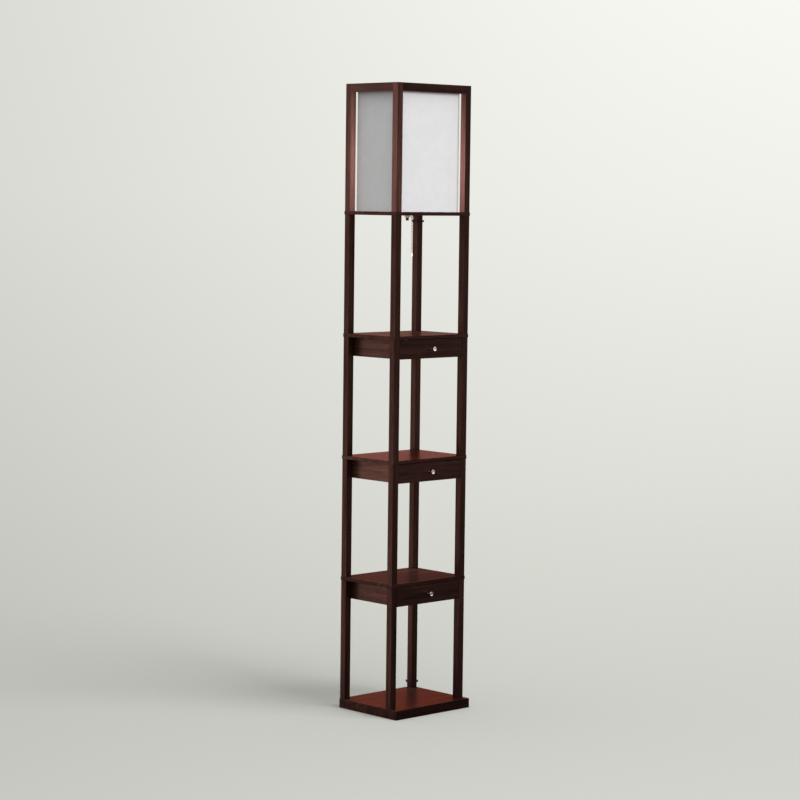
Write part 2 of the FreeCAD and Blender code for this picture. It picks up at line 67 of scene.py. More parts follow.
def camera_axes():
    """Right, up and view direction: a level look at the yaw, pitched down, then rolled."""
    yaw, pitch, roll = (math.radians(a) for a in (CAMERA_YAW, CAMERA_PITCH, CAMERA_ROLL))
    level_right = Vector((math.cos(yaw), -math.sin(yaw), 0))
    level_ahead = Vector((math.sin(yaw), math.cos(yaw), 0))
    up = Vector((0, 0, 1))
    ahead = level_ahead * math.cos(pitch) - up * math.sin(pitch)
    tilted_up = up * math.cos(pitch) + level_ahead * math.sin(pitch)
    right = level_right * math.cos(roll) + tilted_up * math.sin(roll)
    above = tilted_up * math.cos(roll) - level_right * math.sin(roll)
    return right, above, ahead


def add_camera():
    data = bpy.data.cameras.new("camera")
    data.sensor_fit = "HORIZONTAL"
    data.sensor_width = SENSOR_WIDTH
    data.lens = CAMERA_LENS
    data.clip_end = CAMERA_FAR
    camera = bpy.data.objects.new("camera", data)
    right, above, ahead = camera_axes()
    turn = Matrix((right, above, -ahead)).transposed().to_4x4()
    camera.matrix_world = Matrix.Translation(CAMERA_PLACE) @ turn
    bpy.context.scene.collection.objects.link(camera)
    bpy.context.scene.camera = camera


# ---------------------------------------------------------------- shader maths


class Reading:
    """One value in a node tree. Arithmetic on it adds Math nodes."""

    def __init__(self, recipe, socket):
        self.recipe = recipe
        self.socket = socket

    def maths(self, operation, *others):
        values = dict(enumerate((self,) + others))
        return self.recipe.node("ShaderNodeMath", {"operation": operation}, values)

    def __add__(self, other):
        return self.maths("ADD", other)

    __radd__ = __add__

    def __mul__(self, other):
        return self.maths("MULTIPLY", other)

    __rmul__ = __mul__

    def __sub__(self, other):
        return self.maths("SUBTRACT", other)

    def __rsub__(self, other):
        return self * -1.0 + other

    def __truediv__(self, other):
        return self.maths("DIVIDE", other)

    def __rtruediv__(self, other):
        return self ** -1.0 * other

    def __pow__(self, other):
        return self.maths("POWER", other)

    def at_least(self, low):
        return self.maths("MAXIMUM", low)

    def at_most(self, high):
        return self.maths("MINIMUM", high)

    def step(self, low, high):
        """0 below low, 1 above high, smooth between them."""
        settings = {"interpolation_type": "SMOOTHSTEP"}
        return self.recipe.node("ShaderNodeMapRange", settings, {0: self, 1: low, 2: high})


class Recipe:
    """A node tree filled from Python expressions."""

    def __init__(self, tree):
        self.tree = tree
        tree.nodes.clear()

    def node(self, kind, settings=None, sockets=None, out=0):
        """Adds a node: its settings first, then its sockets, by name or number."""
        made = self.tree.nodes.new(kind)
        for name, value in (settings or {}).items():
            setattr(made, name, value)
        for key, value in (sockets or {}).items():
            if isinstance(value, Reading):
                self.tree.links.new(value.socket, made.inputs[key])
            else:
                made.inputs[key].default_value = value
        return Reading(self, made.outputs[out] if made.outputs else None)

    def place(self):
        return self.node("ShaderNodeTexCoord", out="Object")

    def ray(self, kind):
        return self.node("ShaderNodeLightPath", out=kind)

    def vector(self, operation, *vectors, out=0):
        settings = {"operation": operation}
        return self.node("ShaderNodeVectorMath", settings, dict(enumerate(vectors)), out)

    def along(self, vector, direction):
        """How far a vector reaches in a direction."""
        return self.vector("DOT_PRODUCT", vector, tuple(direction), out="Value")

    def scaled(self, vector, size):
        """A vector or colour times a value."""
        sockets = {"Vector": vector, "Scale": size}
        return self.node("ShaderNodeVectorMath", {"operation": "SCALE"}, sockets)

    def height_of(self, vector):
        return self.node("ShaderNodeSeparateXYZ", None, {0: vector}, "Z")

    def noise(self, vector, scale, detail=2.0, roughness=0.5, distortion=0.0):
        """Fractal noise about 0.5, scale cells to the metre."""
        values = {"Vector": vector, "Scale": scale, "Detail": detail}
        values["Roughness"] = roughness
        values["Distortion"] = distortion
        return self.node("ShaderNodeTexNoise", None, values, "Fac")

    def mix(self, share, first, second):
        """A colour between two, by share."""
        settings = {"data_type": "RGBA"}
        return self.node("ShaderNodeMix", settings, {0: share, 6: first, 7: second}, 2)

    def bump(self, height, distance, strength=1.0):
        values = {"Height": height, "Distance": distance, "Strength": strength}
        return self.node("ShaderNodeBump", None, values)


def colour(red, green, blue):
    """An sRGB colour, 0 to 255, as linear RGBA."""
    channels = []
    for value in (red, green, blue):
        share = value / 255
        low = share <= 0.04045
        channels.append(share / 12.92 if low else ((share + 0.055) / 1.055) ** 2.4)
    return (*channels, 1.0)


def finish_material(name, paint):
    """A material whose Principled sockets come from paint(recipe), a dict."""
    material = bpy.data.materials.new(name)
    material.use_nodes = True
    recipe = Recipe(material.node_tree)
    shader = recipe.node("ShaderNodeBsdfPrincipled", None, paint(recipe))
    recipe.node("ShaderNodeOutputMaterial", None, {0: shader})
    return material


# ---------------------------------------------------------------- finishes

WOOD_DEEP = colour(82, 55, 51)
WOOD_MID = colour(112, 77, 70)
WOOD_WARM = colour(136, 86, 76)
WOOD_PORE = colour(52, 32, 29)
WOOD_SHEEN = 0.5               # how far the stain tints what the lacquer reflects
CROSS_GRAIN_PAINTED_LIGHT = 1.6              # painted light: pieces with their grain along Y are this much paler, for the brighter light on their side faces
MIDDLE_SIDE_PAINTED_LIGHT = 2.15       # painted light: the middle drawer's sides this much paler
# lit and shaded copies of the wood: grain axis, sheen, paleness
LIT_AND_SHADED_WOOD = {
    # painted shade: the lower shelf's low sheen; painted light: the middle shelf's high sheen
    "lower_shelf": (0, 0.2, 1.0),
    "middle_shelf": (0, 0.8, 1.0),
    # painted light: the middle drawer's sides are paler
    "middle_drawer_left_side": (1, WOOD_SHEEN, MIDDLE_SIDE_PAINTED_LIGHT),
    "middle_drawer_right_side": (1, WOOD_SHEEN, MIDDLE_SIDE_PAINTED_LIGHT),
}
WOOD_EDGE_TINT = (0.9, 0.33, 0.26, 1.0)
WOOD_SEEDS = 3
ALONG_GRAIN = 0.035            # the pattern's frequency along the grain, against across
AXES = ("x", "y", "z")


def wood_paint(grain, seed, sheen, painted_light_gain):
    """Stained wood under satin lacquer, its grain along axis 0, 1 or 2."""

    def paint(recipe):
        stretch = [1.0, 1.0, 1.0]
        stretch[grain] = ALONG_GRAIN
        shift = (0.37 * seed, 0.61 * seed, 0.53 * seed)
        shifted = recipe.vector("ADD", recipe.place(), shift)
        fibre = recipe.vector("MULTIPLY", shifted, tuple(stretch))
        cloud = recipe.noise(shifted, 11.0, 1.0)
        bands = recipe.noise(fibre, 70.0, 3.0, 0.55, 0.5)
        streaks = recipe.noise(fibre, 380.0, 3.0, 0.6)
        threads = recipe.noise(fibre, 1500.0, 2.0)
        pores = recipe.noise(fibre, 900.0, 1.0).step(0.64, 0.72)
        tone = (bands * 0.5 + streaks * 0.3 + threads * 0.1 + cloud * 0.1).step(0.34, 0.64)
        body = recipe.mix(tone, WOOD_DEEP, WOOD_MID)
        warm = (bands * 0.6 + streaks * 0.4).step(0.5, 0.68) * 0.5
        stained = recipe.mix(warm, body, WOOD_WARM)
        pored = recipe.mix(pores * 0.7, stained, WOOD_PORE)
        return {
            # painted light: the gain makes some pieces paler, for the light that falls on them
            "Base Color": recipe.scaled(pored, painted_light_gain),
            "Metallic": sheen,
            "Roughness": 0.29 + 0.1 * pores + 0.08 * streaks,
            "Specular IOR Level": 0.0,
            "Specular Tint": WOOD_EDGE_TINT,
            "Normal": recipe.bump(streaks * 0.6 + threads * 0.3 - pores, 0.02 * MM, 0.5),
        }

    return paint


def runner_paint(recipe):
    """Planed, unfinished battens with their grain along Y."""
    fibre = recipe.vector("MULTIPLY", recipe.place(), (1.0, ALONG_GRAIN, 1.0))
    bands = recipe.noise(fibre, 130.0, 3.0, 0.55, 0.5)
    lines = recipe.noise(fibre, 900.0, 2.0)
    tone = (bands * 0.7 + lines * 0.3).step(0.32, 0.68)
    return {
        "Base Color": recipe.mix(tone, colour(178, 142, 98), colour(214, 184, 142)),
        "Roughness": 0.62 + 0.15 * lines,
        "Normal": recipe.bump(lines + bands, 0.06 * MM, 0.6),
    }


def fibreboard_paint(recipe):
    """Stained fibreboard: a fine random fleck."""
    fleck = recipe.noise(recipe.place(), 700.0, 4.0, 0.65)
    cloud = recipe.noise(recipe.place(), 26.0)
    tone = (fleck * 0.7 + cloud * 0.3).step(0.35, 0.65)
    return {
        "Base Color": recipe.mix(tone, colour(104, 70, 62), colour(132, 92, 80)),
        "Roughness": 0.5 + 0.15 * fleck,
        "Normal": recipe.bump(fleck, 0.08 * MM, 0.5),
    }


def nickel_paint(recipe):
    """Polished nickel with faint smears; the pink in its colour is a painted reflection of the
    red-brown wood.
    """
    smear = recipe.noise(recipe.place(), 260.0, 3.0, 0.6)
    tone = smear.step(0.3, 0.7)
    fine = recipe.noise(recipe.place(), 2600.0)
    return {
        "Base Color": recipe.mix(tone, colour(238, 218, 210), colour(252, 238, 232)),
        "Metallic": 1.0,
        "Roughness": 0.14 + 0.1 * smear,
        "Normal": recipe.bump(fine, 0.004 * MM, 0.3),
    }


def steel_paint(recipe):
    """Zinc-plated steel with a mottled bloom."""
    bloom = recipe.noise(recipe.place(), 480.0, 3.0, 0.6)
    return {
        "Base Color": recipe.mix(bloom, colour(150, 152, 150), colour(196, 196, 190)),
        "Metallic": 1.0,
        "Roughness": 0.28 + 0.18 * bloom,
    }


def brass_paint(recipe):
    """Satin brass, a little darker where it has dulled."""
    dull = recipe.noise(recipe.place(), 380.0, 3.0, 0.6)
    tone = dull.step(0.3, 0.7)
    return {
        "Base Color": recipe.mix(tone, colour(246, 222, 184), colour(226, 194, 146)),
        "Metallic": 1.0,
        "Roughness": 0.24 + 0.16 * dull,
    }


def plastic_paint(deep, lifted, gloss, shine=0.5):
    """Moulded plastic with a fine grain."""

    def paint(recipe):
        grain = recipe.noise(recipe.place(), 2400.0, 2.0, 0.6)
        haze = recipe.noise(recipe.place(), 90.0)
        return {
            "Base Color": recipe.mix(haze, deep, lifted),
            "Roughness": gloss + 0.12 * grain,
            "Specular IOR Level": shine,
            "Normal": recipe.bump(grain, 0.02 * MM, 0.5),
        }

    return paint


SHADE_WHITE = colour(241, 241, 243)
SHADE_DEEP = colour(235, 235, 237)


def shade_paint(recipe):
    """White laminated sheet: a faint fibre cloud and a fine linen tooth."""
    place = recipe.place()
    cloud = recipe.noise(place, 38.0, 3.0, 0.6)
    weft = recipe.noise(recipe.vector("MULTIPLY", place, (0.05, 0.05, 1.0)), 1400.0)
    warp = recipe.noise(recipe.vector("MULTIPLY", place, (1.0, 1.0, 0.05)), 1400.0)
    tooth = weft * 0.5 + warp * 0.5
    tone = (cloud * 0.6 + tooth * 0.4).step(0.3, 0.7)
    return {
        "Base Color": recipe.mix(tone, SHADE_DEEP, SHADE_WHITE),
        "Roughness": 0.5 + 0.1 * tooth,
        "Specular IOR Level": 0.2,
        "Normal": recipe.bump(tooth, 0.02 * MM, 0.4),
    }


def opal_paint(recipe):
    """Opal glass: milky white under a gloss."""
    cloud = recipe.noise(recipe.place(), 60.0)
    return {
        "Base Color": recipe.mix(cloud, colour(236, 236, 232), colour(246, 246, 243)),
        "Roughness": 0.12 + 0.05 * cloud,
        "Coat Weight": 0.6,
        "Coat Roughness": 0.04,
    }


WOODS = {}
for axis in range(3):
    for seed in range(WOOD_SEEDS):
        # painted light: the cross-grain pieces get a paler colour for the light on their side
        # faces
        painted_light_gain = CROSS_GRAIN_PAINTED_LIGHT if axis == 1 else 1.0
        paint = wood_paint(axis, seed + 1 + 3 * axis, WOOD_SHEEN, painted_light_gain)
        WOODS[axis, seed] = finish_material(f"wood_along_{AXES[axis]}_{seed + 1}", paint)
LIT_AND_SHADED_FINISHES = {}
# the lit and shaded copies of the wood, with painted light and shade in their sheen and colour
for number, (name, (axis, sheen, painted_light_gain)) in enumerate(LIT_AND_SHADED_WOOD.items()):
    paint = wood_paint(axis, WOOD_SEEDS + number + 1, sheen, painted_light_gain)
    LIT_AND_SHADED_FINISHES[name] = finish_material(f"wood_of_{name}", paint)

holder_paint = plastic_paint(colour(34, 33, 33), colour(44, 43, 42), 0.36)
strap_paint = plastic_paint(colour(70, 48, 43), colour(88, 60, 54), 0.5, 0.25)
bush_paint = plastic_paint(colour(14, 14, 14), colour(24, 24, 24), 0.4)
FINISHES = {
    "runner_wood": finish_material("runner_wood", runner_paint),
    "drawer_bottom": finish_material("stained_fibreboard", fibreboard_paint),
    "nickel": finish_material("polished_nickel", nickel_paint),
    "steel": finish_material("zinc_plated_steel", steel_paint),
    "brass": finish_material("satin_brass", brass_paint),
    "shade": finish_material("shade_sheet", shade_paint),
    "holder": finish_material("holder_plastic", holder_paint),
    "black_plastic": finish_material("strap_plastic", strap_paint),
    "bush": finish_material("bush_plastic", bush_paint),
    "bulb_glass": finish_material("opal_glass", opal_paint),
}

# ---------------------------------------------------------------- surfaces


def unit(vector):
    return vector / np.linalg.norm(vector)


def eased(outline, steps=5):
    """A profile of (radius, height) points as an array.

    A point may carry a third value, which rounds its corner: an arc of that radius, tangent
    to both sides, with its centre on the corner's bisector at radius / sin(half the angle).
    """
    stretches = []
    for index, corner in enumerate(outline):
        here = np.array(corner[:2])
        if len(corner) < 3:
            stretches.append(here[None])
            continue
        back = unit(np.array(outline[index - 1][:2]) - here)
        ahead = unit(np.array(outline[(index + 1) % len(outline)][:2]) - here)
        half = math.acos(float(back @ ahead)) / 2
        setback = corner[2] / math.tan(half)
        centre = here + unit(back + ahead) * corner[2] / math.sin(half)
        share = np.linspace(0, 1, steps + 1)[:, None]
        spokes = here + back * setback * (1 - share) + ahead * setback * share - centre
        lengths = np.linalg.norm(spokes, axis=1, keepdims=True)
        stretches.append(centre + spokes * corner[2] / lengths)
    return np.concatenate(stretches)


def closer(profile, step):
    """The same profile with more points on it, none further apart than step."""
    runs = np.linalg.norm(np.diff(profile, axis=0), axis=1)
    place = np.concatenate(([0], np.cumsum(runs)))
    places = np.union1d(place, np.linspace(0, place[-1], math.ceil(place[-1] / step) + 1))
    return np.stack([np.interp(places, place, profile[:, k]) for k in (0, 1)], -1)


def turned(profile, sides, base, upright=(0, 0, 1), across=(1, 0, 0), relief=None):
    """A grid of points: each (radius, height) of the profile goes round the axis.

    Point = base + height * upright + radius * (cos a * across + sin a * (upright x across)).
    relief(angle, radius, height) is added to the radius.
    """
    angle = np.linspace(0, 2 * math.pi, sides, endpoint=False)
    radius = np.repeat(profile[:, :1], sides, axis=1)
    height = np.repeat(profile[:, 1:], sides, axis=1)
    if relief is not None:
        radius = radius + relief(angle[None], radius, height)
    upright, across = np.array(upright, float), np.array(across, float)
    beside = np.cross(upright, across)
    spokes = np.cos(angle)[:, None] * across + np.sin(angle)[:, None] * beside
    return np.array(base) + height[..., None] * upright + radius[..., None] * spokes[None]


def skin(points, ring=False):
    """Vertices and faces over a grid whose columns close on themselves.

    With ring, its rows close too. Otherwise the first and last rows are poles, each one
    point, and a fan of triangles meets each.
    """
    rows, columns = points.shape[:2]
    if ring:
        index = np.arange(rows * columns).reshape(rows, columns)
        low, high = index, np.roll(index, -1, axis=0)
        vertices = points.reshape(-1, 3)
        fans = []
    else:
        middle = points[1:-1]
        index = 1 + np.arange(middle.shape[0] * columns).reshape(-1, columns)
        low, high = index[:-1], index[1:]
        vertices = np.concatenate((points[:1, 0], middle.reshape(-1, 3), points[-1:, 0]))
        bottom, top = index[0], index[-1]
        last = len(vertices) - 1
        fans = np.stack((np.zeros(columns, int), np.roll(bottom, -1), bottom), -1).tolist()
        fans += np.stack((np.full(columns, last), top, np.roll(top, -1)), -1).tolist()
    quads = np.stack((low, np.roll(low, -1, 1), np.roll(high, -1, 1), high), -1)
    return vertices, quads.reshape(-1, 4).tolist() + fans


def piece(name, skins, slot, body, replaced=(), sharp=35.0, finish=None):
    """One object from several skins, smooth up to a sharp angle in degrees."""
    vertices, faces = [], []
    for skin_vertices, skin_faces in skins:
        start = sum(len(part) for part in vertices)
        vertices.append(skin_vertices)
        faces += [[start + corner for corner in face] for face in skin_faces]
    mesh = bpy.data.meshes.new(name)
    mesh.from_pydata(np.concatenate(vertices), [], faces)
    mesh.shade_smooth()
    mesh.set_sharp_from_angle(angle=math.radians(sharp))
    mesh.materials.append(FINISHES[finish or slot])
    made = bpy.data.objects.new(name, mesh)
    bpy.context.scene.collection.objects.link(made)
    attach(made, body)
    if replaced:
        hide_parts(*replaced)
    return made


# ---------------------------------------------------------------- knobs

KNOB_SIDES = 56
KNOB_STUD = 2.0 * MM           # radius
KNOB_STUD_LENGTH = 9.0 * MM
KNOB_NECK = 2.6 * MM
KNOB_HEAD_LENGTH = 7.5 * MM


def knob_profile(radius, projection):
    """Stud, waist with a flared foot, swelling head, rolled rim and a dished face.

    Points (radius, distance out from the drawer's front), with their corners rounded.
    """
    neck_end = projection - KNOB_HEAD_LENGTH
    return eased([
        (0, -KNOB_STUD_LENGTH),
        (KNOB_STUD, -KNOB_STUD_LENGTH, 0.4 * MM),
        (KNOB_STUD, 0),
        (KNOB_NECK + 0.4 * MM, 0),
        (KNOB_NECK, 1.0 * MM, 0.7 * MM),
        (KNOB_NECK, neck_end, 0.8 * MM),
        (radius - 0.6 * MM, neck_end + 1.5 * MM, 0.5 * MM),
        (radius, neck_end + 2.4 * MM, 0.8 * MM),
        (radius, projection, 1.0 * MM),
        (radius - 1.9 * MM, projection - 0.3 * MM, 0.5 * MM),
        (radius - 3.4 * MM, projection - 0.5 * MM, 0.8 * MM),
        (0, projection - 0.5 * MM),
    ], steps=6)


def add_knobs():
    made = []
    for level in LEVELS:
        node = f"{level}_drawer_knob"
        low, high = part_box(node)
        radius = (high.x - low.x) / 2
        length = high.y - low.y
        face = high.y - KNOB_STUD_LENGTH
        centre = ((low.x + high.x) / 2, face, (low.z + high.z) / 2)
        profile = knob_profile(radius, length - KNOB_STUD_LENGTH)
        grid = turned(profile, KNOB_SIDES, centre, upright=(0, -1, 0))
        made.append(piece(f"{level}_knob", [skin(grid)], "nickel", f"{level}_drawer", [node]))
    return made


# ---------------------------------------------------------------- pull chain

BALL = 1.6 * MM                # radius
PITCH = 4.2 * MM
WIRE = 0.5 * MM                # radius
BALL_HOLE = 0.75 * MM          # radius of the drawn-in mouth at each pole
BALL_SIDES = 20
WIRE_SIDES = 10
CONNECTOR_WALL = 1.2 * MM
CONNECTOR_LIP = 0.4 * MM       # length of each mouth
MOUTH_STEP = 0.2 * MM          # the mouths are this much smaller than a ball
BELL_WALL = 0.6 * MM
BELL_HOLE = 0.6 * MM           # radius, for the wire


def ball_profile(height):
    """A pole-to-pole half circle, flattened to a small mouth at each pole.

    Points (BALL * cos a, height + BALL * sin a), from the lower mouth to the upper one.
    """
    reach = math.acos(BALL_HOLE / BALL)
    angle = np.linspace(-reach, reach, 12)
    arc = np.stack((BALL * np.cos(angle), height + BALL * np.sin(angle)), -1)
    dimple = BALL * math.sin(reach) - 0.25 * MM
    return np.concatenate(([[0, height - dimple]], arc, [[0, height + dimple]]))


def link_profile(height):
    """The wire between the ball centred at height and the one a pitch below.

    A cylinder of radius WIRE that starts and ends 0.7 ball radii from their centres.
    """
    end = BALL * 0.7
    low, high = height - PITCH + end, height - end
    return np.array([[0, low], [WIRE, low], [WIRE, high], [0, high]])


def add_chain(node, body):
    """A ball chain in place of a node: spheres a pitch apart, joined by short wires."""
    low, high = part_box(node)
    centre = ((low.x + high.x) / 2, (low.y + high.y) / 2, 0)
    count = round((high.z - low.z - 2 * BALL) / PITCH) + 1
    skins = []
    for number in range(count):
        height = high.z - BALL - number * PITCH
        skins.append(skin(turned(ball_profile(height), BALL_SIDES, centre)))
        if number + 1 < count:
            skins.append(skin(turned(link_profile(height), WIRE_SIDES, centre)))
    return piece(node + "_balls", skins, "nickel", body, [node])


def add_connector():
    """A crimped sleeve: lips at both mouths and a shallow groove round its middle."""
    low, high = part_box("chain_connector")
    centre = ((low.x + high.x) / 2, (low.y + high.y) / 2, 0)
    radius = (high.x - low.x) / 2
    mouth, bore = BALL - MOUTH_STEP, radius - CONNECTOR_WALL
    bottom, top = low.z, high.z
    middle = (bottom + top) / 2
    profile = eased([
        (mouth, bottom),
        (radius - 0.5 * MM, bottom, 0.25 * MM),
        (radius, bottom + 1.0 * MM, 0.6 * MM),
        (radius, middle - 1.0 * MM, 0.4 * MM),
        (radius - 0.35 * MM, middle, 0.7 * MM),
        (radius, middle + 1.0 * MM, 0.4 * MM),
        (radius, top - 1.0 * MM, 0.6 * MM),
        (radius - 0.5 * MM, top, 0.25 * MM),
        (mouth, top),
        (mouth, top - CONNECTOR_LIP),
        (bore, top - CONNECTOR_LIP),
        (bore, bottom + CONNECTOR_LIP),
        (mouth, bottom + CONNECTOR_LIP),
    ])
    skins = [skin(turned(profile, 32, centre), ring=True)]
    return piece("connector_sleeve", skins, "nickel", "chain_link", ["chain_connector"])


def add_bell():
    """The bell on the chain's end: a straight skirt that flares to a rolled lip."""
    low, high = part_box("chain_bell")
    centre = ((low.x + high.x) / 2, (low.y + high.y) / 2, 0)
    mouth = (high.x - low.x) / 2
    bottom, top = low.z, high.z
    body = mouth - 0.8 * MM
    profile = eased([
        (BELL_HOLE, top),
        (body, top, 0.9 * MM),
        (body, bottom + 3.6 * MM, 3.0 * MM),
        (mouth - 0.1 * MM, bottom + 0.8 * MM, 0.3 * MM),
        (mouth, bottom + 0.4 * MM, 0.2 * MM),
        (mouth - 0.2 * MM, bottom, 0.15 * MM),
        (mouth - BELL_WALL, bottom),
        (body - BELL_WALL, bottom + 3.6 * MM, 3.0 * MM),
        (body - BELL_WALL, top - BELL_WALL),
        (BELL_HOLE, top - BELL_WALL),
    ], steps=7)[::-1]
    skins = [skin(turned(profile, 40, centre), ring=True)]
    return piece("bell", skins, "nickel", "hanging_chain", ["chain_bell"])


# ---------------------------------------------------------------- lamp fittings

CAP_RADIUS = 13.0 * MM         # the bulb's screw cap
CAP_HEIGHT = 28.0 * MM
CAP_THREAD = 3.6 * MM          # pitch
CAP_THREAD_DEPTH = 1.1 * MM
NECK_ANGLE = -50               # degrees, where the bulb's neck meets its globe
NECK_RISE = 9.0 * MM           # how far its curve pulls straight up from the cap
NECK_SWEEP = 8.0 * MM          # and back along the globe
NIPPLE_WALL = 1.5 * MM
NIPPLE_THREAD = 1.0 * MM       # pitch
NIPPLE_THREAD_DEPTH = 0.55 * MM
NUT_HEIGHT = 5.0 * MM
NUT_BORE = 5.05 * MM           # radius
NUT_SINK = 0.4 * MM            # the bore's countersink
NUT_FACE = 6.7 * MM            # radius of the round land inside a nut's chamfer
NUT_SPREAD = math.tan(math.radians(60))        # a chamfer's radius gained per height
NUT_CHAMFER = 0.8 * MM         # height near each face with closer points
BUSH_STEM = 3.4 * MM           # radius
BUSH_BORE = 2.75 * MM          # radius
BUSH_STEM_LENGTH = 6.0 * MM


def thread(pitch, depth, crest, low, high):
    """Relief of a right-hand screw thread, a rounded ridge that climbs a pitch a turn.

    Relief = -depth / 2 * (1 - cos(2 pi height / pitch - angle)) * fade, and fade falls to 0
    over the last pitch at both ends. Points well inside the crest radius stay.
    """

    def relief(angle, radius, height):
        ridge = 1 - np.cos(2 * math.pi * height / pitch - angle)
        fade = np.clip(np.minimum(height - low, high - height) / pitch, 0, 1)
        return np.where(radius > crest - depth, -depth / 2 * ridge * fade, 0.0)

    return relief


def add_bulb():
    """An opal globe on a drawn-in neck, and its threaded cap with a contact.

    The neck is a Bezier curve from the cap's rim, straight up at first, to the globe 50
    degrees below its middle, where it arrives along the globe.
    """
    low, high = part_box("bulb")
    radius = (high.x - low.x) / 2
    centre = ((low.x + high.x) / 2, (low.y + high.y) / 2, 0)
    cap = CAP_RADIUS
    rim = low.z + CAP_HEIGHT
    middle = high.z - radius
    low_angle = math.radians(NECK_ANGLE)
    angle = np.linspace(low_angle, math.pi / 2, 40)[:, None]
    globe = np.concatenate((radius * np.cos(angle), middle + radius * np.sin(angle)), 1)
    globe[-1, 0] = 0
    start, end = np.array((cap - 0.4 * MM, rim)), globe[0]
    along = np.array((-math.sin(low_angle), math.cos(low_angle)))
    bends = (start, start + (0, NECK_RISE), end - along * NECK_SWEEP, end)
    t = np.linspace(0, 1, 14)[:-1, None]
    weights = ((1 - t) ** 3, 3 * t * (1 - t) ** 2, 3 * t ** 2 * (1 - t), t ** 3)
    neck = sum(weight * bend for weight, bend in zip(weights, bends))
    glass = np.concatenate(([[0, rim - 1 * MM], [start[0], rim - 1 * MM]], neck, globe))
    outline = eased([
        (0, low.z),
        (4.5 * MM, low.z, 0.5 * MM),
        (5.0 * MM, low.z + 0.9 * MM),
        (8.0 * MM, low.z + 1.4 * MM, 0.4 * MM),
        (cap, low.z + 4.6 * MM, 1.0 * MM),
        (cap, rim - 0.8 * MM, 0.4 * MM),
        (cap - 0.8 * MM, rim),
        (0, rim),
    ])
    turns = thread(CAP_THREAD, CAP_THREAD_DEPTH, cap, low.z + 5 * MM, rim - 4 * MM)
    cap_skin = skin(turned(closer(outline, 0.45 * MM), 64, centre, relief=turns))
    return [
        piece("bulb_globe", [skin(turned(glass, 72, centre))], "bulb_glass", "frame", ["bulb"]),
        piece("bulb_cap", [cap_skin], "bulb_glass", "frame", ["bulb"], finish="nickel"),
    ]


def add_nipple():
    """The threaded tube through the lamp board, a fine thread over its whole length."""
    low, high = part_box("threaded_nipple")
    centre = ((low.x + high.x) / 2, (low.y + high.y) / 2, 0)
    outer = (high.x - low.x) / 2
    profile = eased([
        (outer - NIPPLE_WALL, low.z),
        (outer, low.z, 0.3 * MM),
        (outer, high.z, 0.3 * MM),
        (outer - NIPPLE_WALL, high.z),
    ])
    start, end = low.z + 0.3 * MM, high.z - 0.3 * MM
    turns = thread(NIPPLE_THREAD, NIPPLE_THREAD_DEPTH, outer, start, end)
    grid = turned(closer(profile, NIPPLE_THREAD / 6), 36, centre, relief=turns)
    return piece("nipple_thread", [skin(grid, ring=True)], "brass", "frame", ["threaded_nipple"])


def add_nuts():
    """Two hexagon nuts with 30 degree chamfers and countersunk bores.

    Outer radius = the least of the hexagon, flat / cos(angle off the flat's middle), and
    the chamfer cone, land + spread * depth below the nearer face.
    """
    low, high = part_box("nipple_nuts")
    centre = ((low.x + high.x) / 2, (low.y + high.y) / 2, 0)
    corner = (high.x - low.x) / 2
    flat = corner * math.cos(math.pi / 6)
    bore, sixth = NUT_BORE, math.pi / 3
    skins = []
    for floor in (low.z, high.z - NUT_HEIGHT):
        roof = floor + NUT_HEIGHT

        def shaped(angle, radius, height):
            hexagon = flat / np.cos(angle % sixth - sixth / 2)
            cone = NUT_FACE + NUT_SPREAD * np.minimum(height - floor, roof - height)
            return np.where(radius > flat, np.minimum(hexagon, cone) - radius, 0.0)

        walls = np.linspace(0, 1, 9) * NUT_CHAMFER
        rises = np.concatenate((walls, NUT_HEIGHT - walls[::-1]))
        wall = np.stack((np.full_like(rises, corner), floor + rises), -1)
        sunk = bore + NUT_SINK
        inside = [[sunk, roof], [bore, roof - NUT_SINK], [bore, floor + NUT_SINK], [sunk, floor]]
        profile = np.concatenate((wall, inside))
        skins.append(skin(turned(profile, 72, centre, relief=shaped), ring=True))
    return piece("hexagon_nuts", skins, "brass", "frame", ["nipple_nuts"], sharp=25.0)


def add_bush():
    """The lead's outlet bush: a rounded flange, and a stem up the nipple."""
    low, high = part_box("lead_outlet_bush")
    centre = ((low.x + high.x) / 2, (low.y + high.y) / 2, 0)
    flange = (high.x - low.x) / 2
    stem, bore = BUSH_STEM, BUSH_BORE
    shoulder = high.z - BUSH_STEM_LENGTH
    profile = eased([
        (bore, low.z, 0.4 * MM),
        (flange - 0.2 * MM, low.z, 1.2 * MM),
        (flange - 0.5 * MM, (low.z + shoulder) / 2, 2.0 * MM),
        (flange, shoulder - 0.9 * MM, 0.4 * MM),
        (flange, shoulder, 0.2 * MM),
        (stem, shoulder),
        (stem, high.z),
        (bore, high.z),
    ])
    skins = [skin(turned(profile, 40, centre), ring=True)]
    slot = "black_plastic"
    return piece("outlet_bush", skins, slot, "frame", ["lead_outlet_bush"], finish="bush")


# ---------------------------------------------------------------- surroundings

SIDE = Vector((0.727, -0.686, 0.0))            # towards the brighter side of the backdrop
REAR = Vector((0.0, 1.0, 0.0))
VIEW_REACH = 6.36                              # metres from the camera to the lamp
PALE = (1.0, 1.011, 0.949)
FLOOR_RADIUS = 60.0
FADE_START = 2.6                               # the floor turns into plain backdrop over
FADE_END = 6.5                                 # this stretch, in metres from the lamp
FLOOR_SIDES = 96
FLOOR_RINGS = (0.5, 1.5, 4.0, 12.0, FLOOR_RADIUS)
FLOOR_GAIN = 1.07                              # lit floor's colour over the backdrop's level
FLOOR_BOUNCE = 0.12                            # light that the floor sends to the lamp
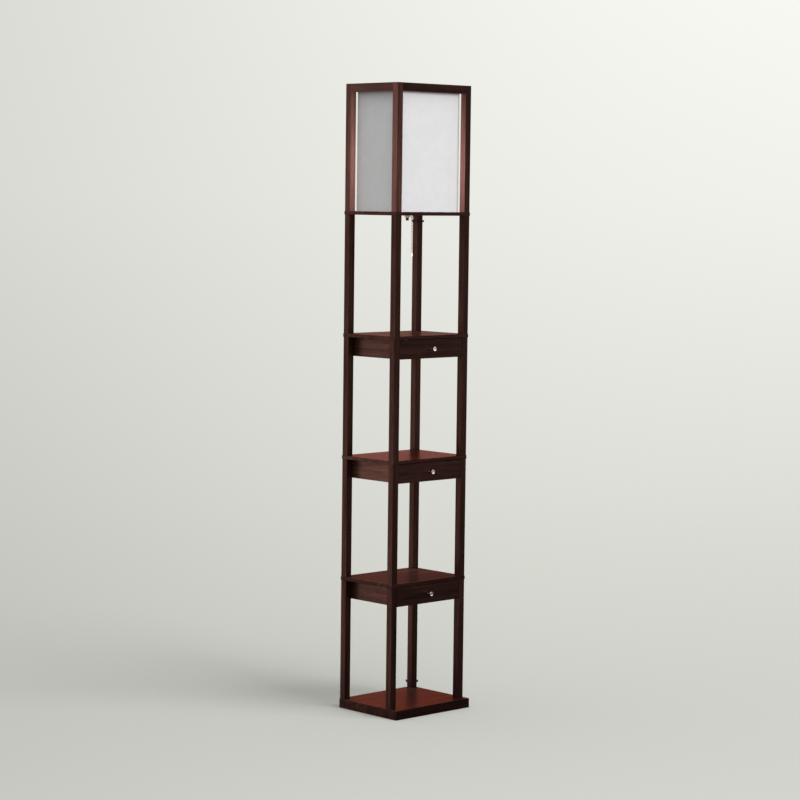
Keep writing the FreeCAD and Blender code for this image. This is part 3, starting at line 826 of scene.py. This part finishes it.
# what mirrors and the soft light show in front of the lamp and behind it, over the
# backdrop's level and over white, and the cosines between which front turns into rear
MIRROR_FRONT, MIRROR_REAR = 0.34, 1.3
MIRROR_LEAN = (-0.75, 0.5)
AMBIENT_FRONT, AMBIENT_REAR = 0.18, 0.34
AMBIENT_LEAN = (-0.8, 0.8)
# the floor close to the lamp, a painted shadow that only mirrors and bounce light see: the
# stretch over which it ends, in metres, the share of it that mirrors leave out in front and
# behind, and the share of its bounce that is missing
CLOSE_FADE = (0.8, 4.2)
CLOSE_LOSS, CLOSE_LOSS_REAR = 0.85, 0.15
CLOSE_BOUNCE = 0.6
# the patch round the foot, a painted shadow in mirrors: the stretch over which it ends, and the
# share mirrors leave out
FOOT_FADE = (0.15, 0.8)
FOOT_DIM = 0.85
# heights on the backdrop, as sines of the angle above the horizon: where its climb ends,
# where mirrors lose a share of it, BAND_DIM, and where they get part of that back
TOP_OF_CLIMB = 0.09
BAND_RISE, BAND_DIM = (0.116, 0.15), 0.68
BAND_EASE, BAND_BACK = (0.16, 0.195), 0.31
# the backdrop's level, fitted: its height, its slope and bend across, and where that rise
# towards the bright side levels off
SIDE_REACH = 0.3
LEVEL, LEVEL_CLIMB, LEVEL_NEARNESS = 0.808, 0.045, 1.25
SLOPE, SLOPE_CLIMB, SLOPE_NEARNESS = 0.62, 0.2, 1.9
BEND, BEND_NEARNESS = 1.4, 6.0


def saturate(value, reach):
    """value / sqrt(1 + (value / reach)^2): straight near 0 and level far out."""
    return value / ((value * (1 / reach)) ** 2.0 + 1.0) ** 0.5


def backdrop_level(sideways, nearness, climb):
    """The pale backdrop's brightness.

    It falls in step with nearness, 1 / distance, rises a little with climb, 0 to 1 above
    the horizon, and rises towards the bright side, more so far away and high up. The rise
    levels off to that side and steepens to the other.
    """
    side = saturate(sideways, SIDE_REACH)
    slope = SLOPE + SLOPE_CLIMB * climb - SLOPE_NEARNESS * nearness
    bend = BEND + BEND_NEARNESS * nearness
    level = LEVEL + LEVEL_CLIMB * climb - LEVEL_NEARNESS * nearness
    return level + side * (slope - bend * side)


def mirrored_share(recipe, direction, close, dim):
    """How much of the backdrop mirrors show.

    It is less in front of the lamp than behind. close, from 0 to 1, is how near the floor
    is to the lamp, where a painted shadow takes off more of it in front. dim is a share taken
    off anywhere.
    """
    lean = recipe.along(direction, REAR).step(*MIRROR_LEAN)
    share = MIRROR_FRONT + (MIRROR_REAR - MIRROR_FRONT) * lean
    loss = CLOSE_LOSS - (CLOSE_LOSS - CLOSE_LOSS_REAR) * lean
    return share * (1.0 - close * loss) * (1.0 - dim)


def camera_share(recipe):
    """1 for rays from the camera, straight or through glass."""
    return (recipe.ray("Is Camera Ray") + recipe.ray("Is Transmission Ray")).at_most(1.0)


def paint_world():
    """The backdrop for camera, mirrors and glass, and a soft light for the rest."""
    world = bpy.data.worlds.new("surroundings")
    bpy.context.scene.world = world
    world.use_nodes = True
    recipe = Recipe(world.node_tree)
    direction = recipe.node("ShaderNodeTexCoord", out="Generated")
    height = recipe.height_of(direction)
    nearness = (height * (-1 / CAMERA_PLACE.z)).at_least(0.0)
    climb = (height * (1 / TOP_OF_CLIMB)).at_least(0.0).at_most(1.0)
    pale = backdrop_level(recipe.along(direction, SIDE), nearness, climb)
    band = height.step(*BAND_RISE) * (1.0 - BAND_BACK * height.step(*BAND_EASE))
    mirrored = pale * mirrored_share(recipe, direction, 0.0, BAND_DIM * band)
    lean = recipe.along(direction, REAR).step(*AMBIENT_LEAN)
    ambient = AMBIENT_FRONT + (AMBIENT_REAR - AMBIENT_FRONT) * lean
    seen, mirror = camera_share(recipe), recipe.ray("Is Glossy Ray")
    others = mirror * mirrored + (1.0 - mirror) * ambient
    strength = seen * pale + (1.0 - seen) * others
    sockets = {"Color": (*PALE, 1.0), "Strength": strength}
    light = recipe.node("ShaderNodeBackground", None, sockets)
    recipe.node("ShaderNodeOutputWorld", None, {0: light})


def paint_floor():
    """Pale floor: lit near the lamp, so that it holds the shadow, and plain far away."""
    material = bpy.data.materials.new("pale_floor")
    material.use_nodes = True
    recipe = Recipe(material.node_tree)
    place = recipe.place()
    reach = recipe.vector("LENGTH", place, out="Value")
    nearness = 1.0 / (reach + VIEW_REACH)
    pale = backdrop_level(recipe.along(place, SIDE) * nearness, nearness, 0.0)
    glow = recipe.node("ShaderNodeEmission", None, {"Color": (*PALE, 1.0), "Strength": pale})
    tint = recipe.scaled(PALE, pale * FLOOR_GAIN)
    lit = recipe.node("ShaderNodeBsdfDiffuse", None, {"Color": tint})
    far = reach.step(FADE_START, FADE_END)
    seen = recipe.node("ShaderNodeMixShader", None, {0: far, 1: lit, 2: glow})
    mirror = recipe.ray("Is Glossy Ray")
    # painted shadow: near the lamp the floor is darker in mirrors and sends less bounce light
    close = 1.0 - reach.step(*CLOSE_FADE)
    foot = 1.0 - reach.step(*FOOT_FADE)
    outwards = recipe.vector("NORMALIZE", place)
    mirrored = pale * mirrored_share(recipe, outwards, close, FOOT_DIM * foot)
    others = mirror * mirrored + (1.0 - mirror) * (1.0 - CLOSE_BOUNCE * close) * FLOOR_BOUNCE
    unseen = recipe.node("ShaderNodeEmission", None, {"Color": (*PALE, 1.0), "Strength": others})
    shares = {0: camera_share(recipe), 1: unseen, 2: seen}
    shader = recipe.node("ShaderNodeMixShader", None, shares)
    recipe.node("ShaderNodeOutputMaterial", None, {0: shader})
    return material


def add_floor():
    """A level disc: rings of growing radius round the lamp's foot.

    Point = ring's radius * (cos a, sin a, 0).
    """
    angle = np.linspace(0, 2 * math.pi, FLOOR_SIDES, endpoint=False)
    rings = np.array(FLOOR_RINGS)
    spokes = np.stack((np.cos(angle), np.sin(angle), np.zeros_like(angle)), -1)
    points = rings[:, None, None] * spokes[None]
    vertices = np.concatenate((np.zeros((1, 3)), points.reshape(-1, 3)))
    index = 1 + np.arange(rings.size * angle.size).reshape(rings.size, -1)
    inner, outer = index[:-1], index[1:]
    quads = np.stack((inner, outer, np.roll(outer, -1, 1), np.roll(inner, -1, 1)), -1)
    fan = np.stack((np.zeros(angle.size, int), index[0], np.roll(index[0], -1)), -1)
    mesh = bpy.data.meshes.new("floor")
    mesh.from_pydata(vertices, [], quads.reshape(-1, 4).tolist() + fan.tolist())
    mesh.materials.append(paint_floor())
    floor = bpy.data.objects.new("floor", mesh)
    bpy.context.scene.collection.objects.link(floor)
    return floor


# ---------------------------------------------------------------- lamps

# name, direction towards it, strength, angle across it in degrees, what it lights
SUNS = (
    ("floor_key", (0.19, -0.66, 0.74), 1.45, 40.0, "floor"),
    ("floor_fill", (-0.25, -0.7, 0.7), 0.7, 50.0, "floor"),
    ("floor_dome", (0.0, -0.1, 1.0), 0.56, 150.0, "floor"),
    ("shade_key", (0.28, -0.96, 0.2), 1.68, 22.0, "white"),
    ("shade_front_dome", (0.1, -1.0, 0.0), 0.85, 150.0, "white"),
    ("shade_left_dome", (-1.0, 0.0, 0.1), 1.5, 150.0, "white"),
    ("overhead", (-0.22, 0.3, 0.93), 1.0, 40.0, "dark"),
    ("metal_key", (0.69, -0.72, 0.0), 1.15, 84.0, "metal"),
    ("metal_dome", (-0.4, -0.75, 0.5), 1.5, 160.0, "metal"),
    ("small_metal_dome", (-0.69, -0.72, 0.1), 3.5, 160.0, "small metal"),
)
# name, place, watts, what it lights: the shade's glow on the posts beside it
GLOWS = (
    ("inner_glow", (0.0, 0.011, 1.38), 4.6, ("rear_left_post", "front_right_post")),
    ("outer_glow", (-0.4, -0.18, 1.37), 5.5, ("rear_left_post", "front_left_post")),
)
GLOW_RADIUS = 0.03


def light_only(lamp, receivers):
    """Keeps a lamp's light to the receivers."""
    group = bpy.data.collections.new(lamp.name + "_receivers")
    for receiver in receivers:
        group.objects.link(receiver)
    lamp.light_linking.receiver_collection = group
    bpy.context.scene.collection.objects.link(lamp)


def add_sun(name, towards, strength, spread, receivers):
    data = bpy.data.lights.new(name, "SUN")
    data.energy = strength
    data.angle = math.radians(spread)
    sun = bpy.data.objects.new(name, data)
    sun.matrix_world = Vector(towards).to_track_quat("Z", "Y").to_matrix().to_4x4()
    light_only(sun, receivers)


def add_glow(name, place, strength, corners):
    """A soft light on some of the shade tier's posts, with no shadow and no highlight."""
    data = bpy.data.lights.new(name, "POINT")
    data.energy = strength
    data.shadow_soft_size = GLOW_RADIUS
    data.use_shadow = False
    glow = bpy.data.objects.new(name, data)
    glow.location = place
    glow.visible_glossy = False
    light_only(glow, [nodes["shade_tier_" + corner] for corner in corners])


def light_up(floor, metal, small_metal, glass):
    lit_apart = ("shade", "bulb")
    groups = {
        "floor": [floor],
        "white": [nodes["shade"]] + glass,
        "dark": [node for name, node in nodes.items() if name not in lit_apart] + metal,
        "metal": metal,
        "small metal": small_metal,
    }
    for name, towards, strength, spread, lit in SUNS:
        add_sun(name, towards, strength, spread, groups[lit])
    for glow in GLOWS:
        add_glow(*glow)


# ---------------------------------------------------------------- dressing


def wood_grain(name):
    """The axis that a wooden piece's grain runs along."""
    if name.endswith("_post"):
        return 2
    along_y = ("left_top_rail", "right_top_rail", "left_side", "right_side")
    return 1 if name.endswith(along_y) else 0


def dress():
    slots = {part["node"]: part["material_slot"] for part in frame["record"]["subparts"]}
    for number, name in enumerate(sorted(nodes)):
        slot = slots[name]
        if slot == "wood":
            finish = LIT_AND_SHADED_FINISHES.get(name) or WOODS[wood_grain(name), number % WOOD_SEEDS]
        else:
            finish = FINISHES[slot]
        nodes[name].material_slots[0].material = finish


dress()
add_camera()
small_metal = [add_connector(), add_bell(), add_nuts()]
small_metal.append(add_chain("pull_chain", "hanging_chain"))
small_metal.append(add_chain("upper_chain", "chain_pull"))
metal = add_knobs() + [add_nipple(), add_bush()] + small_metal
glass = add_bulb()
paint_world()
light_up(add_floor(), metal, small_metal, glass)
bpy.context.scene.view_settings.view_transform = "Standard"
